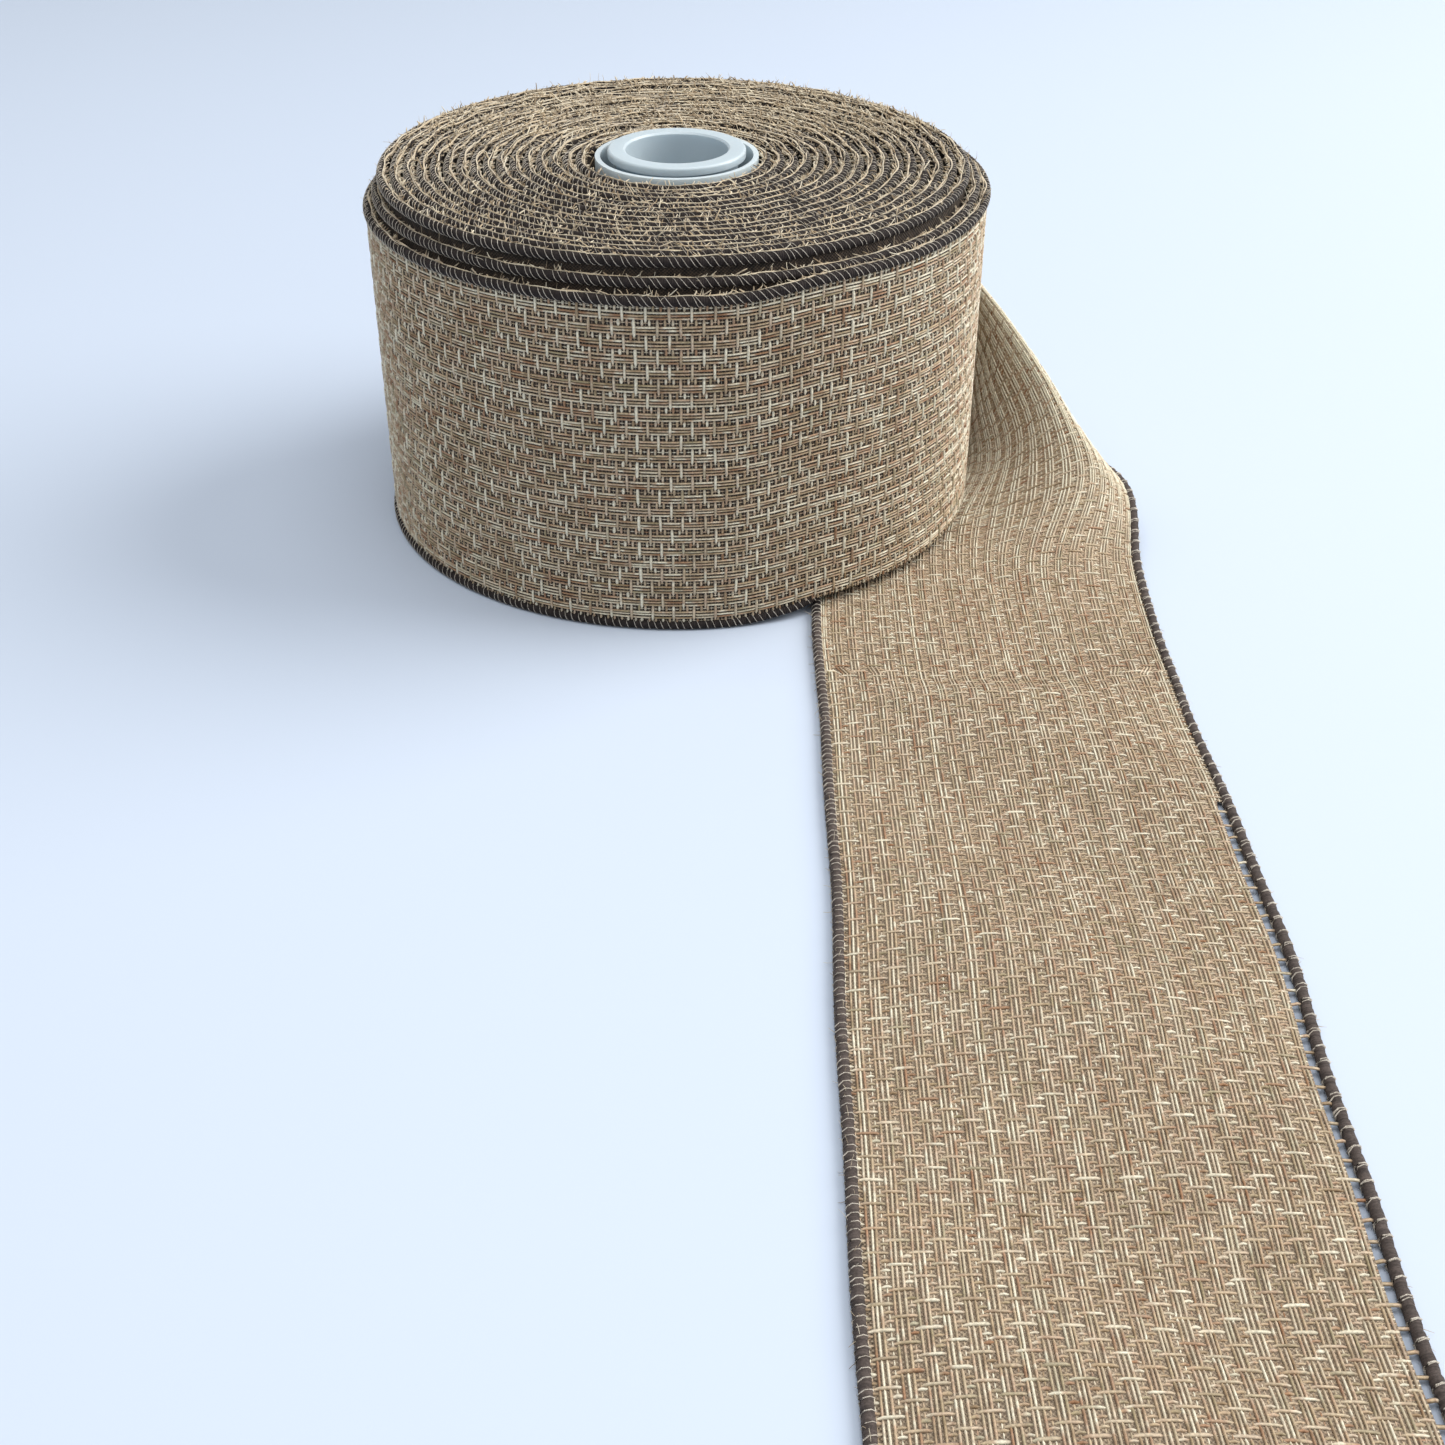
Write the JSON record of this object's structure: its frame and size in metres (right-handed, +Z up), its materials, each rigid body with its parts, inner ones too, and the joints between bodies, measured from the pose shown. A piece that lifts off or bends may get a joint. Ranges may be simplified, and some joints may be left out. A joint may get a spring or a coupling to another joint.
{
  "type": "ribbon spool",
  "caption": "Roll of wide wired-edge woven ribbon on a two-part plastic core, standing on end, its free end twisting down to lie flat.",
  "frame": {"origin": "centre of the core's bore in the plane that the roll stands on", "axes": "+Z up along the core, out of the hub's open end; the free tail runs along -Y, on the +X side"},
  "size_m": [0.1484, 0.2995, 0.071],
  "materials": {
    "core": "natural translucent moulded",
    "hub": "natural translucent moulded",
    "tape": "adhesive tape",
    "ribbon": "heathered open weave",
    "edge_cord": "overlocked cord with a pale whip thread",
    "wire": "drawn"
  },
  "bodies": {
    "spool": {"core_tube": "core", "starter_tape": "tape", "wound_turns": "ribbon", "wound_top_cords": "edge_cord", "wound_bottom_cords": "edge_cord", "second_wrap": "ribbon", "second_wrap_top_cord": "edge_cord", "second_wrap_bottom_cord": "edge_cord"},
    "hub": {"core_hub": "hub"},
    "free_ribbon": {"outer_wrap": "ribbon", "outer_wrap_top_cord": "edge_cord", "outer_wrap_bottom_cord": "edge_cord", "twist_web": "ribbon", "twist_left_cord": "edge_cord", "twist_right_cord": "edge_cord", "tail_web": "ribbon", "tail_left_cord": "edge_cord", "tail_right_cord": "edge_cord", "tail_left_wire": "wire", "tail_right_wire": "wire"}
  },
  "joints": [
    {"name": "pay_out", "type": "hinge", "parent": "spool", "child": "free_ribbon", "pos_m": [0, 0, 0], "axis": [0, 0, 1], "continuous": true},
    {"name": "hub_slide", "type": "slide", "parent": "spool", "child": "hub", "axis": [0, 0, 1], "range_m": [-0.0028, 0.024]}
  ]
}
